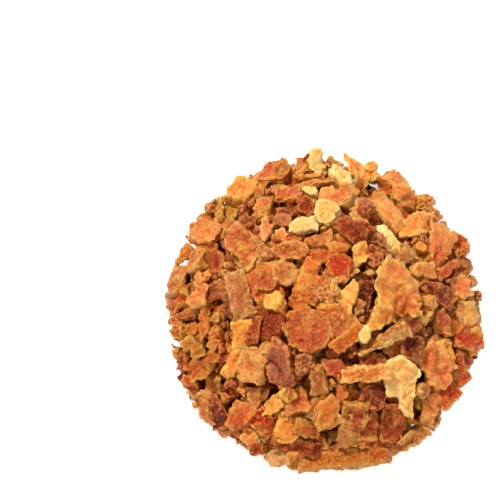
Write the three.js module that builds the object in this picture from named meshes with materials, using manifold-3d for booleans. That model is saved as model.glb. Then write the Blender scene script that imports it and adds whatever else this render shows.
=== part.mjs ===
// A low round heap of dried, cut orange peel, as it lies when it is poured out on a table.
// The heap is one solid out to its uneven outline: flat, cut chips of peel, joined over a dome.
// Millimetres, +Z up. The origin is the centre of the footprint, on the surface the heap lies on.
import * as THREE from "three";
import { mergeVertices } from "three/addons/utils/BufferGeometryUtils.js";
import Module from "manifold-3d";

// Driving dimensions of the heap.
const HEAP_WIDTH = 76; // along X
const HEAP_DEPTH = 78; // along Y
const HEAP_HEIGHT = 20; // along Z, to the top of the highest chip

// The dome that the chips lie on.
const DOME_RADIUS = 34.5;
const DOME_HEIGHT = 18.6;
const DOME_RIM = 1.2;
const DOME_STEPS = 14; // along the profile
const DOME_SIDES = 48;
const FLANK_POWER = 1.35; // over 1 keeps the top broad and the flank steep

// Driving dimensions of a chip. Each pair is the least and the most.
const CHIP_THICKNESS = [1.5, 2.4];
const CHIP_HALF_LENGTH = [3.2, 6.4];
const CHIP_SLENDERNESS = [0.4, 0.95]; // width over length
const CHIP_CORNERS = [4, 6];
const CORNER_DRIFT = [-0.22, 0.22]; // how far a corner strays from an even polygon

// Chips on the dome: they reach almost to its edge and lie sunk a little into it.
const FLANK_CHIPS = 96;
const FLANK_REACH = 0.97; // share of the dome's radius
const FLANK_SINK = 0.1;
const FLANK_TILT = [-0.34, 0.34]; // radians out of the dome's own slope

// Chips round the foot of the dome, which lie flat on the ground and make the outline.
const RIM_CHIPS = 26;
const RIM_DRIFT = [-0.3, 0.3]; // of the spacing between two chips
const RIM_REACH = [-1.5, 0.8]; // past the dome's radius
const RIM_TILT = [-0.12, 0.12];

const SEED = 20;
const GOLDEN_ANGLE = Math.PI * (3 - Math.sqrt(5));
const SLOPE_STEP = 0.01; // share of the radius over which the dome's slope is taken
const WELD = 1e-4; // vertices closer than this are one
const SLIVER = 0.2; // the joined surface is simplified within this distance
const UP = new THREE.Vector3(0, 0, 1);

const wasm = await Module();
wasm.setup();

/** A repeatable stream of random numbers from 0 to 1. */
function randomStream(seed) {
  let state = seed;
  return () => {
    state = (state + 0x6d2b79f5) | 0;
    let mixed = Math.imul(state ^ (state >>> 15), 1 | state);
    mixed = (mixed + Math.imul(mixed ^ (mixed >>> 7), 61 | mixed)) ^ mixed;
    return ((mixed ^ (mixed >>> 14)) >>> 0) / 2 ** 32;
  };
}

const random = randomStream(SEED);
const between = ([low, high]) => low + (high - low) * random();

/** A closed three.js geometry as a solid that can be joined and cut. */
function solidFrom(geometry) {
  const bare = geometry.clone();
  bare.deleteAttribute("normal");
  bare.deleteAttribute("uv");
  const welded = mergeVertices(bare, WELD);
  return new wasm.Manifold(
    new wasm.Mesh({
      numProp: 3,
      vertProperties: new Float32Array(welded.attributes.position.array),
      triVerts: new Uint32Array(welded.index.array),
    }),
  );
}

/** A solid's surface as a three.js geometry. */
function geometryFrom(solid) {
  const { vertProperties, triVerts } = solid.getMesh();
  const geometry = new THREE.BufferGeometry();
  geometry.setAttribute("position", new THREE.BufferAttribute(vertProperties, 3));
  geometry.setIndex(new THREE.BufferAttribute(triVerts, 1));
  return geometry;
}

/** The dome's height at a share of the way from the middle to its edge. */
function domeHeight(share) {
  return DOME_RIM + (DOME_HEIGHT - DOME_RIM) * Math.cos((Math.PI / 2) * share ** FLANK_POWER);
}

/** The way that the dome's surface faces at a share of the way out, in a direction. */
function domeNormal(share, bearing) {
  const slope = (domeHeight(share + SLOPE_STEP) - domeHeight(share)) / (SLOPE_STEP * DOME_RADIUS);
  return new THREE.Vector3(-slope * Math.cos(bearing), -slope * Math.sin(bearing), 1).normalize();
}

/** The solid dome under the chips. */
function buildDome() {
  const profile = [new THREE.Vector2(0, 0), new THREE.Vector2(DOME_RADIUS, 0)];
  for (let step = DOME_STEPS; step >= 0; step -= 1) {
    const share = step / DOME_STEPS;
    profile.push(new THREE.Vector2(share * DOME_RADIUS, domeHeight(share)));
  }
  const dome = new THREE.LatheGeometry(profile, DOME_SIDES);
  return solidFrom(dome.rotateX(Math.PI / 2));
}

/** One flat chip with cut, uneven corners, lying at its own middle. */
function buildChip() {
  const halfLength = between(CHIP_HALF_LENGTH);
  const halfWidth = halfLength * between(CHIP_SLENDERNESS);
  const thickness = between(CHIP_THICKNESS);
  const corners = Math.round(between(CHIP_CORNERS));
  const outline = Array.from({ length: corners }, (_, corner) => {
    const angle = (2 * Math.PI * (corner + between(CORNER_DRIFT))) / corners;
    const reach = 1 + between(CORNER_DRIFT);
    return new THREE.Vector2(halfLength * reach * Math.cos(angle), halfWidth * reach * Math.sin(angle));
  });
  const chip = new THREE.ExtrudeGeometry(new THREE.Shape(outline), { depth: thickness, bevelEnabled: false });
  return chip.translate(0, 0, -thickness / 2).rotateZ(Math.PI * random());
}

/** Lays a chip on a point, facing along a direction and tilted out of it within a range of angles. */
function layChip(point, facing, tilt) {
  const chip = buildChip();
  const lean = new THREE.Quaternion().setFromEuler(new THREE.Euler(between(tilt), between(tilt), 0));
  const turned = new THREE.Quaternion().setFromUnitVectors(UP, facing).multiply(lean);
  return solidFrom(chip.applyQuaternion(turned).translate(point.x, point.y, point.z));
}

/** The chips that cover the dome, spread evenly by the golden angle. */
function layFlankChips() {
  return Array.from({ length: FLANK_CHIPS }, (_, index) => {
    const share = FLANK_REACH * Math.sqrt((index + 0.5) / FLANK_CHIPS);
    const bearing = index * GOLDEN_ANGLE;
    const radius = share * DOME_RADIUS;
    const height = domeHeight(share) - FLANK_SINK;
    const point = new THREE.Vector3(radius * Math.cos(bearing), radius * Math.sin(bearing), height);
    return layChip(point, domeNormal(share, bearing), FLANK_TILT);
  });
}

/** The chips that lie flat round the foot of the dome and make the uneven outline. */
function layRimChips() {
  return Array.from({ length: RIM_CHIPS }, (_, index) => {
    const bearing = (2 * Math.PI * (index + between(RIM_DRIFT))) / RIM_CHIPS;
    const radius = DOME_RADIUS + between(RIM_REACH);
    const point = new THREE.Vector3(radius * Math.cos(bearing), radius * Math.sin(bearing), CHIP_THICKNESS[0] / 2);
    return layChip(point, UP, RIM_TILT);
  });
}

/** A block of the ground under the heap, which cuts off what reaches below it. */
function buildGround() {
  const size = 2 * (HEAP_WIDTH + HEAP_DEPTH);
  return solidFrom(new THREE.BoxGeometry(size, size, size).translate(0, 0, -size / 2));
}

/** The chips and the dome as one solid, without the sealed pockets between them. */
function joinHeap() {
  const joined = wasm.Manifold.union([buildDome(), ...layFlankChips(), ...layRimChips()]).subtract(buildGround());
  const shells = joined.simplify(SLIVER).decompose();
  return shells.reduce((largest, shell) => (shell.volume() > largest.volume() ? shell : largest));
}

/** Stretches a geometry to the heap's size, with its footprint's middle at the origin. */
function fitToHeap(geometry) {
  geometry.computeBoundingBox();
  const size = geometry.boundingBox.getSize(new THREE.Vector3());
  const middle = geometry.boundingBox.getCenter(new THREE.Vector3());
  geometry.translate(-middle.x, -middle.y, -geometry.boundingBox.min.z);
  geometry.scale(HEAP_WIDTH / size.x, HEAP_DEPTH / size.y, HEAP_HEIGHT / size.z);
  geometry.computeVertexNormals();
  return geometry;
}

const heapGeometry = fitToHeap(geometryFrom(joinHeap()));
const driedPeel = new THREE.MeshStandardMaterial({ color: 0xd07438, roughness: 0.72, metalness: 0 });
const peelHeap = new THREE.Mesh(heapGeometry, driedPeel);
peelHeap.name = "peel_heap";

const object = new THREE.Group();
object.add(peelHeap);
export default object;
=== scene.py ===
"""A low round heap of dried, cut orange peel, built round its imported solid.

A brown core of packed crumbs stands for the inside. The real pieces lie on it from the bottom up:
rind chips, pith chunks, cut strips, membrane flakes, crumb clusters and loose crumbs. Each piece
is cut and dried in millimetres at a bench of its own, then let down on the heap. A piece that would
stand too far over the CAD heap's surface is pressed down into what lies below it. Pieces of one kind
are joined into one object.
"""

import logging
import math
from dataclasses import dataclass, field, replace
from enum import Enum

import bpy
import numpy as np
from mathutils import Matrix, Vector
from mathutils.bvhtree import BVHTree


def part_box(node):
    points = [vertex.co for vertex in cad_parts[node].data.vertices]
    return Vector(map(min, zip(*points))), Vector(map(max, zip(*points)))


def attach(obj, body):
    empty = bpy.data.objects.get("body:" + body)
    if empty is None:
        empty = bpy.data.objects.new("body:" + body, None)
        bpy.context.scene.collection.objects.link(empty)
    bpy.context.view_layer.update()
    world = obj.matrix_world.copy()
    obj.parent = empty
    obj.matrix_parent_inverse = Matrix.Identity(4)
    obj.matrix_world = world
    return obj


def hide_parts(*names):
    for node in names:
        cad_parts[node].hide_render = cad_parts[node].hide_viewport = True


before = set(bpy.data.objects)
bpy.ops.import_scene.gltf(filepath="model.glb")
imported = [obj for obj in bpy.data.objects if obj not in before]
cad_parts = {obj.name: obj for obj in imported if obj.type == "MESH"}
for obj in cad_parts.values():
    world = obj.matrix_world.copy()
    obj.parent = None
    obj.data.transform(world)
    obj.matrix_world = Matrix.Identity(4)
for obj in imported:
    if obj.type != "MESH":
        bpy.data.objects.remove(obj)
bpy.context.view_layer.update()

log = logging.getLogger("peel_heap")

MM = 0.001
NODE = "peel_heap"
BODY = "root"
SEED = 7
SEED_STEPS = 1000  # steps to the heap's radius that a place's own seed counts

SURFACE_BLUR = 6  # cells over which the surface that the pieces are piled up to is averaged
FOOT_SHARE = 0.945  # of the outline, inside which that surface has a least height
FOOT_HEIGHT = 2.8  # millimetres, that least height
HEADROOM = 0.3  # millimetres that a piece may stand over the top of the CAD heap

LOOKS = ("skin", "layer", "inset", "crest")  # what each vertex of a piece holds
COLOURS = ("main", "patch", "pale")  # the colours of a piece

SRGB_TOE = 0.04045  # the display curve is straight up to here
SRGB_TOE_SLOPE = 12.92
SRGB_OFFSET = 0.055
SRGB_POWER = 2.4

WHITE = (1.0, 1.0, 1.0, 1.0)

Array = np.ndarray
Piece = bpy.types.Object
Socket = bpy.types.NodeSocket
Colour = tuple[float, float, float]
Span = tuple[float, float]


def linear(colour: Colour) -> Colour:
    """Turns a display colour from 0 to 255 into the linear light that shaders use.

    Args:
        colour: red, green and blue as a screen shows them, from 0 to 255.

    Returns:
        The same colour in linear light, from 0 to 1.
    """
    shares = [channel / 255 for channel in colour]
    return tuple(
        share / SRGB_TOE_SLOPE if share <= SRGB_TOE
        else ((share + SRGB_OFFSET) / (1 + SRGB_OFFSET)) ** SRGB_POWER
        for share in shares
    )


# --------------------------------------------------------------------------- colours and cuts


@dataclass(frozen=True)
class Shades:
    """The colours that one piece of peel shows: its main one, its patches and its pale side."""

    main: Colour
    patch: Colour
    pale: Colour


class Tone(Enum):
    """The families of colour in dried orange peel."""

    ORANGE = Shades((220, 106, 28), (204, 60, 16), (230, 160, 68))
    AMBER = Shades((218, 118, 34), (202, 72, 20), (228, 164, 72))
    TAN = Shades((214, 120, 46), (190, 72, 24), (230, 170, 88))
    GOLDEN = Shades((222, 136, 42), (208, 88, 26), (234, 182, 84))
    BLUSHED = Shades((220, 124, 38), (216, 50, 20), (232, 174, 76))
    CREAM = Shades((236, 182, 90), (224, 142, 58), (246, 212, 138))
    RED = Shades((218, 78, 26), (214, 40, 16), (230, 154, 68))
    RUST = Shades((186, 66, 22), (144, 34, 14), (222, 134, 60))
    BROWN = Shades((158, 60, 22), (112, 32, 14), (214, 130, 58))
    PLUM = Shades((138, 44, 22), (102, 24, 14), (224, 136, 66))
    TOASTED = Shades((210, 112, 38), (186, 84, 28), (244, 198, 112))


class Outline(Enum):
    """The cut outlines of a piece: corners in shares of its half length and half width."""

    BLOCK = ((-0.95, 0.78), (0.84, 0.96), (1.0, -0.74), (-0.8, -0.96))
    WEDGE = ((-1.0, -0.4), (-0.9, 0.5), (0.95, 0.98), (1.0, -0.9))
    KITE = ((-1.0, -0.12), (-0.15, 0.95), (0.82, 0.66), (1.0, -0.4), (0.2, -1.0))
    LEAF = ((-1.0, 0.05), (-0.45, 0.78), (0.35, 0.95), (1.0, 0.12), (0.5, -0.84), (-0.4, -0.9))
    SHARD = ((-1.0, 0.12), (0.1, 0.8), (1.0, 0.95), (0.8, -0.95), (-0.3, -0.45))
    SLIVER = ((-1.0, -0.1), (0.3, 0.9), (1.0, 0.35), (0.6, -0.95))
    STICK = ((-1.0, -0.7), (-0.96, 0.8), (-0.1, 1.0), (0.95, 0.78), (1.0, -0.72), (0.2, -0.9))
    ROUND = (
        (-1.0, 0.1), (-0.72, 0.78), (-0.05, 1.0), (0.66, 0.76),
        (1.0, 0.05), (0.74, -0.7), (0.1, -1.0), (-0.68, -0.76),
    )
    FAN = (
        (-1.0, -0.3), (-0.85, 0.4), (0.1, 1.0), (0.7, 0.85),
        (0.92, 0.3), (1.0, -0.3), (0.8, -0.85), (0.1, -0.92),
    )
    NOTCHED = (
        (-1.0, -0.5), (-0.75, 0.75), (-0.15, 0.95), (0.06, 0.3),
        (0.4, 0.9), (1.0, 0.6), (0.85, -0.7), (0.0, -1.0),
    )
    FORKED = (
        (-1.0, -0.25), (-0.95, 0.3), (-0.15, 0.42), (0.7, 1.0), (1.0, 0.66),
        (0.3, 0.02), (0.95, -0.5), (0.75, -1.0), (-0.1, -0.5),
    )
    BELL = (
        (-1.0, 0.9), (-0.55, 0.62), (-0.1, 0.4), (0.55, 0.5), (0.95, 0.1),
        (0.78, -0.48), (0.35, -0.88), (-0.4, -1.0), (-0.5, -0.4), (-0.8, 0.45),
    )
    TAILED = (
        (-1.0, -0.5), (-0.92, 0.0), (-0.3, 0.25), (-0.2, 0.85), (0.35, 1.0),
        (0.9, 0.7), (1.0, -0.2), (0.5, -0.9), (-0.15, -0.7),
    )


class Upside(Enum):
    """Which side of a piece lies on top."""

    RIND = 1
    PITH = -1


class Grain(Enum):
    """The relief that drying leaves on a piece: the kind of texture and whether it is sharply creased."""

    SMOOTH = ("CLOUDS", False)
    CREASED = ("CLOUDS", True)
    KNOBBLY = ("VORONOI", False)


@dataclass(frozen=True)
class Relief:
    """One texture that pushes a surface in and out. Lengths are millimetres."""

    grain: Grain
    size: float
    height: float


@dataclass(frozen=True)
class Recipe:
    """How pieces of one kind are cut and how they dry. Lengths are millimetres."""

    thickness: Span
    bevel: float
    fray: tuple[Relief, ...]  # along the plane of the piece, which breaks up its outline
    skin: tuple[Relief, ...]  # out of its surface
    warp: tuple[Relief, ...]  # up and down, which bends the whole piece
    curl: Span  # degrees
    density: float  # triangles for each square millimetre of surface


class Sort(Enum):
    """The kinds of piece in the heap."""

    RIND = "rind"
    STRIP = "strip"
    PITH = "pith"
    MEMBRANE = "membrane"
    CLUSTER = "cluster"


# Short names for the options, in the order in which they are listed above.
ORANGE, AMBER, TAN, GOLDEN, BLUSHED, CREAM, RED, RUST, BROWN, PLUM, TOASTED = Tone
BLOCK, WEDGE, KITE, LEAF, SHARD, SLIVER, STICK, ROUND, FAN, NOTCHED, FORKED, BELL, TAILED = Outline
RIND, STRIP, PITH, MEMBRANE, CLUSTER = Sort


RECIPES = {
    RIND: Recipe(
        (1.05, 1.8), 0.1,
        (Relief(Grain.SMOOTH, 2.6, 1.4), Relief(Grain.SMOOTH, 0.9, 0.55)),
        (Relief(Grain.KNOBBLY, 0.8, 0.26), Relief(Grain.CREASED, 3.0, 0.7)),
        (Relief(Grain.SMOOTH, 5.0, 3.0), Relief(Grain.CREASED, 3.0, 1.0)),
        (-35, 60), 28,
    ),
    STRIP: Recipe(
        (1.2, 1.8), 0.12,
        (Relief(Grain.SMOOTH, 2.6, 1.3), Relief(Grain.SMOOTH, 0.8, 0.4)),
        (Relief(Grain.CREASED, 1.4, 0.6),),
        (Relief(Grain.SMOOTH, 5.5, 2.8),),
        (-25, 35), 28,
    ),
    PITH: Recipe(
        (1.4, 2.3), 0.16,
        (Relief(Grain.SMOOTH, 2.4, 1.6), Relief(Grain.SMOOTH, 0.9, 0.5)),
        (Relief(Grain.CREASED, 3.2, -0.9), Relief(Grain.SMOOTH, 0.9, 0.35)),
        (Relief(Grain.SMOOTH, 4.5, 2.4),),
        (-20, 35), 26,
    ),
    MEMBRANE: Recipe(
        (0.55, 0.9), 0.08,
        (Relief(Grain.SMOOTH, 2.6, 1.8), Relief(Grain.SMOOTH, 0.9, 0.7)),
        (Relief(Grain.CREASED, 2.6, -0.6),),
        (Relief(Grain.SMOOTH, 4.0, 3.6), Relief(Grain.CREASED, 3.4, 2.0)),
        (-60, 75), 28,
    ),
    CLUSTER: Recipe(
        (2.0, 3.0), 0.5,
        (Relief(Grain.SMOOTH, 1.8, 1.6),),
        (Relief(Grain.KNOBBLY, 1.0, 1.3), Relief(Grain.SMOOTH, 0.7, 0.5)),
        (Relief(Grain.SMOOTH, 3.5, 1.6),),
        (-10, 10), 22,
    ),
}


@dataclass(frozen=True)
class Cut:
    """One piece as it is cut: its kind, outline and size in millimetres."""

    sort: Sort
    outline: Outline
    length: float
    width: float
    curl: float | None = None  # degrees along the length; the recipe's own where it is None
    cup: float | None = None  # degrees across the width
    thickness: float | None = None


@dataclass
class Shape:
    """A finished piece in millimetres about its own middle, rind side up."""

    points: Array
    triangles: Array
    skin: Array  # 1 where the surface is rind, 0 elsewhere
    layer: Array  # 0 on the pith side, 1 on the rind side
    inset: Array  # distance from the cut rim
    crest: Array  # over 0.5 on ridges and edges, under it in creases

    def mirrored(self) -> "Shape":
        """Gives the piece turned left for right, with its faces still pointing out."""
        points = self.points * np.array([1.0, -1.0, 1.0])
        return replace(self, points=points, triangles=self.triangles[:, ::-1])

    def scaled(self, along: float, across: float) -> "Shape":
        """Gives the piece stretched in its own plane, at the same thickness."""
        return replace(self, points=self.points * np.array([along, across, 1.0]))


# --------------------------------------------------------------------------- the bench


@dataclass
class Bench:
    """The bench where single pieces are cut, roughened and curled, one at a time."""

    voxel: float = 0.26
    span: float = 1500.0  # each piece is made at a place of its own, so that no two dry alike
    cup_share: float = 0.5  # of the recipe's curl, for the cup across the width
    aside: float = 1.13  # the fray across a piece is this much coarser than along it
    skin_from: float = 0.35  # a surface that faces up more than this starts to be rind
    skin_over: float = 0.4  # how much further up it faces where it is all rind
    rim_slope: float = 0.55  # a surface that faces up or down less than this is the cut rim
    inset_reach: int = 10  # voxels from the rim, beyond which the inset isn't measured
    crest_gain: float = 1.4
    crest_level: float = 0.5  # the crest of a flat surface
    crest_own: float = 0.6  # share of its own bend in a vertex's crest; the rest is its neighbours'
    textures: dict[tuple[str, float], bpy.types.Texture] = field(default_factory=dict)

    def cut(self, cut: Cut, rng: np.random.Generator, share: float = 1.0) -> Shape:
        """Cuts and dries one piece.

        Args:
            cut: the piece's kind, outline and size.
            rng: where its thickness, curl and place on the bench are drawn from.
            share: how much of the recipe's triangles it gets.

        Returns:
            The piece, about its own middle.
        """
        recipe = RECIPES[cut.sort]
        drawn = rng.uniform(*recipe.thickness)
        thickness = drawn if cut.thickness is None else cut.thickness
        piece = self.saw_out(cut, thickness, recipe.bevel, rng.uniform(0, self.span, 2))
        self.roughen(piece, recipe)
        area = 2 * cut.length * cut.width + 2 * thickness * (cut.length + cut.width)
        self.thin_out(piece, int(area * recipe.density * share))
        looks = {**self.read_layers(piece, thickness), "crest": self.read_crests(piece)}
        self.raise_relief(piece, recipe.warp, "Z")
        self.bring_home(piece)
        curl = rng.uniform(*recipe.curl) if cut.curl is None else cut.curl
        cup = rng.uniform(*recipe.curl) * self.cup_share if cut.cup is None else cut.cup
        for axis, degrees in (("Y", curl), ("X", cup)):
            angle = math.radians(degrees)
            self.apply(piece, "SIMPLE_DEFORM", deform_method="BEND", deform_axis=axis, angle=angle)
        return self.lift_off(piece, looks)

    def texture(self, grain: Grain, size: float) -> bpy.types.Texture:
        """Gives the displacement texture of one grain and size, made once."""
        key = (grain.name, size)
        if key not in self.textures:
            kind, creased = grain.value
            made = bpy.data.textures.new(f"{grain.name.lower()}_{size:g}", kind)
            made.noise_scale = size
            if creased:
                made.noise_type = "HARD_NOISE"
            self.textures[key] = made
        return self.textures[key]

    @staticmethod
    def apply(piece: Piece, kind: str, **settings: object) -> None:
        """Adds a modifier with these settings and applies it."""
        modifier = piece.modifiers.new(kind.lower(), kind)
        for name, value in settings.items():
            setattr(modifier, name, value)
        bpy.ops.object.modifier_apply(modifier=modifier.name)

    @staticmethod
    def saw_out(cut: Cut, thickness: float, bevel: float, place: Array) -> Piece:
        """Saws a flat blank out of the peel and takes off its sharp edges.

        Args:
            cut: the piece's outline and size.
            thickness: of the peel.
            bevel: how much of each edge is taken off.
            place: where on the bench the piece is made.

        Returns:
            The blank, which is the active object.
        """
        bpy.ops.object.select_all(action="DESELECT")
        corners = cut.outline.value
        bpy.ops.mesh.primitive_circle_add(vertices=len(corners), radius=1, fill_type="NGON")
        blank = bpy.context.object
        for vertex, (along, across) in zip(blank.data.vertices, corners):
            vertex.co = (
                place[0] + along * cut.length / 2,
                place[1] + across * cut.width / 2,
                -thickness / 2,
            )
        bpy.ops.object.mode_set(mode="EDIT")
        bpy.ops.mesh.select_all(action="SELECT")
        bpy.ops.mesh.extrude_region_move(TRANSFORM_OT_translate={"value": (0, 0, thickness)})
        bpy.ops.mesh.select_all(action="SELECT")
        bpy.ops.mesh.normals_make_consistent(inside=False)
        bpy.ops.mesh.bevel(offset=bevel, segments=1, affect="EDGES")
        bpy.ops.object.mode_set(mode="OBJECT")
        return blank

    def raise_relief(self, piece: Piece, reliefs: tuple[Relief, ...], direction: str) -> None:
        """Pushes a piece's surface about by each relief in turn, in one direction."""
        for relief in reliefs:
            texture = self.texture(relief.grain, relief.size)
            self.apply(piece, "DISPLACE", texture=texture, direction=direction, strength=relief.height)

    def roughen(self, piece: Piece, recipe: Recipe) -> None:
        """Breaks up the outline and raises the relief of the dried surface."""
        self.apply(piece, "REMESH", mode="VOXEL", voxel_size=self.voxel)
        self.raise_relief(piece, recipe.fray, "X")
        aside = tuple(replace(fray, size=fray.size * self.aside) for fray in recipe.fray)
        self.raise_relief(piece, aside, "Y")
        self.raise_relief(piece, recipe.skin, "NORMAL")

    def thin_out(self, piece: Piece, triangles: int) -> None:
        """Leaves about this many triangles on a piece."""
        ratio = min(1.0, triangles / (2 * len(piece.data.polygons)))
        self.apply(piece, "DECIMATE", ratio=ratio, use_collapse_triangulate=True)

    def read_layers(self, piece: Piece, thickness: float) -> dict[str, Array]:
        """Reads where a piece that is still flat is rind, how deep it lies and how far from its rim.

        Args:
            piece: the flat piece.
            thickness: of the peel.

        Returns:
            The skin, layer and inset of each vertex, as a Shape holds them, by name.
        """
        points = read_vectors(piece.data.vertices, "co")
        normals = read_vectors(piece.data.vertices, "normal")
        skin = np.clip((normals[:, 2] - self.skin_from) / self.skin_over, 0, 1)
        layer = np.clip(points[:, 2] / thickness + 0.5, 0, 1)
        rim = points[np.abs(normals[:, 2]) < self.rim_slope][:, :2]
        apart = np.linalg.norm(points[:, None, :2] - rim[None], axis=2)
        inset = apart.min(1, initial=self.voxel * self.inset_reach)
        return {"skin": skin, "layer": layer, "inset": inset}

    def read_crests(self, piece: Piece) -> Array:
        """Reads how far each vertex stands out over its neighbours or lies in a crease.

        Args:
            piece: the thinned piece.

        Returns:
            The crest of each vertex, as a Shape holds it.
        """
        mesh = piece.data
        points = read_vectors(mesh.vertices, "co")
        normals = read_vectors(mesh.vertices, "normal")
        ends = np.empty(len(mesh.edges) * 2, np.int64)
        mesh.edges.foreach_get("vertices", ends)
        first, second = np.concatenate([ends.reshape(-1, 2), ends.reshape(-1, 2)[:, ::-1]]).T
        number = np.bincount(first, minlength=len(points))
        step = points[second] - points[first]
        rise = -(step * normals[first]).sum(1) / np.linalg.norm(step, axis=1)
        bend = np.bincount(first, rise, len(points)) / number
        spread = np.bincount(first, bend[second], len(points)) / number
        mean = bend * self.crest_own + spread * (1 - self.crest_own)
        return np.clip(self.crest_level + self.crest_gain * mean, 0, 1)

    @staticmethod
    def bring_home(piece: Piece) -> None:
        """Moves a piece's mesh to the origin, so that it curls about its own middle."""
        points = read_vectors(piece.data.vertices, "co")
        middle = (points.min(0) + points.max(0)) / 2
        piece.data.transform(Matrix.Translation(Vector(-middle)))

    @staticmethod
    def lift_off(piece: Piece, looks: dict[str, Array]) -> Shape:
        """Takes the finished piece off the bench, with what was read of its looks, and clears the bench."""
        mesh = piece.data
        mesh.calc_loop_triangles()
        triangles = np.empty(len(mesh.loop_triangles) * 3, np.int64)
        mesh.loop_triangles.foreach_get("vertices", triangles)
        points = read_vectors(mesh.vertices, "co")
        points -= points.mean(0)
        bpy.data.objects.remove(piece)
        bpy.data.meshes.remove(mesh)
        return Shape(points, triangles.reshape(-1, 3), **looks)


def read_vectors(items: bpy.types.bpy_prop_collection, name: str) -> Array:
    """Reads a three-part property of every item, such as a mesh's vertex places."""
    values = np.empty(len(items) * 3, np.float32)
    items.foreach_get(name, values)
    return values.reshape(-1, 3).astype(float)


# --------------------------------------------------------------------------- the growing heap


@dataclass
class Terrain:
    """Heights over the table on a square grid, in millimetres."""

    half_span: float = 44.0
    cell: float = 0.3

    def __post_init__(self) -> None:
        """Starts as a bare table."""
        self.count = int(2 * self.half_span / self.cell) + 1
        self.heights = np.zeros((self.count, self.count))

    def cells(self, points: Array) -> tuple[Array, Array]:
        """Gives the grid cells that hold these points, kept off the grid's very edge."""
        found = np.rint((points[:, :2] + self.half_span) / self.cell).astype(int)
        found = np.clip(found, 1, self.count - 2)
        return found[:, 0], found[:, 1]

    def centres(self) -> tuple[Array, Array]:
        """Gives X and Y of every cell's middle."""
        line = np.arange(self.count) * self.cell - self.half_span
        return np.meshgrid(line, line, indexing="ij")

    def at(self, points: Array) -> Array:
        """Gives the height under each point."""
        return self.heights[self.cells(points)]

    def drop_onto(self, mesh: BVHTree, scale: float, top: float) -> None:
        """Takes its heights from a mesh, seen straight from above.

        Args:
            mesh: the mesh to look down on.
            scale: the mesh's units in millimetres.
            top: a height above all of the mesh, in the mesh's units.
        """
        across, along = self.centres()
        for i in range(self.count):
            for j in range(self.count):
                start = Vector((across[i, j] * scale, along[i, j] * scale, top))
                hit = mesh.ray_cast(start, Vector((0, 0, -1)))[0]
                self.heights[i, j] = hit.z / scale if hit is not None else 0.0

    def cover(self, points: Array) -> None:
        """Raises the heights to the top of a piece that now lies there."""
        rows, columns = self.cells(points)
        for side, ahead in ((0, 0), (1, 0), (-1, 0), (0, 1), (0, -1)):
            np.maximum.at(self.heights, (rows + side, columns + ahead), points[:, 2])

    def tilt_at(self, points: Array) -> tuple[float, float]:
        """Fits a plane to the ground under a piece and gives its slopes along X and Y."""
        ground = self.at(points)
        flat = points[:, :2] - points[:, :2].mean(0)
        table = np.column_stack([flat, np.ones(len(flat))])
        slopes = np.linalg.lstsq(table, ground, rcond=None)[0]
        return float(slopes[0]), float(slopes[1])


def smoothed(values: Array, reach: int) -> Array:
    """Averages a grid over a square window that reaches this many cells each way."""
    window = 2 * reach + 1
    for axis in (0, 1):
        pads = [(reach + 1, reach) if a == axis else (0, 0) for a in (0, 1)]
        sums = np.cumsum(np.pad(values, pads, mode="edge"), axis=axis)
        upper = np.take(sums, np.arange(window, sums.shape[axis]), axis=axis)
        lower = np.take(sums, np.arange(0, sums.shape[axis] - window), axis=axis)
        values = (upper - lower) / window
    return values


def turned_about(axis: Array, angle: float) -> Array:
    """Gives the rotation by an angle in radians about an axis, as a 3 by 3 array."""
    return np.array(Matrix.Rotation(angle, 3, Vector(axis)))


@dataclass
class Viewpoint:
    """Where the heap is looked at from, in millimetres, with the heap off the picture's middle."""

    elevation: float = 72.0
    lens: float = 100.0
    sensor: float = 36.0
    picture: float = 114.5  # width that the picture shows at the heap
    aim_left: float = 16.5
    aim_up: float = 14.4
    radius: float = 37.8  # of the heap in the picture, which the shares below are of
    middle_up: float = -0.2  # of the heap's middle in the picture, over the origin
    steps: int = 12  # in which a line of sight is followed down to the ground

    def __post_init__(self) -> None:
        """Works out the camera's own axes and place."""
        angle = math.radians(self.elevation)
        self.ahead = np.array([0.0, math.cos(angle), -math.sin(angle)])
        self.right = np.array([1.0, 0.0, 0.0])
        self.up = np.array([0.0, math.sin(angle), math.cos(angle)])
        self.distance = self.picture * self.lens / self.sensor
        aim = self.up * self.aim_up - self.right * self.aim_left
        self.place = aim - self.ahead * self.distance

    def ground_point(self, across: float, up: float, ground: Terrain) -> Array:
        """Finds the point of the ground that shows at a place in the picture.

        Args:
            across: right of the heap's middle, as a share of its radius.
            up: above the heap's middle, as a share of its radius.
            ground: the surface to find it on.

        Returns:
            X, Y and Z of the point.
        """
        seen = self.right * across * self.radius + self.up * (up * self.radius + self.middle_up)
        sight = seen - self.place
        point = seen
        for _ in range(self.steps):
            height = ground.at(point[None])[0]
            point = self.place + sight * ((height - self.place[2]) / sight[2])
        return point


@dataclass(frozen=True)
class Landmark:
    """A piece with its own place on the heap.

    The place is in shares of the heap's radius in the picture, sizes are millimetres, turn is
    degrees anticlockwise, and roll and pitch are set only where the piece doesn't lie as it falls.
    """

    sort: Sort
    outline: Outline
    tone: Tone
    across: float
    up: float
    length: float
    width: float
    turn: float
    upside: Upside = Upside.RIND
    roll: float | None = None
    pitch: float | None = None
    curl: float | None = None
    cup: float | None = None
    thickness: float | None = None


# --------------------------------------------------------------------------- finishes


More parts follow.
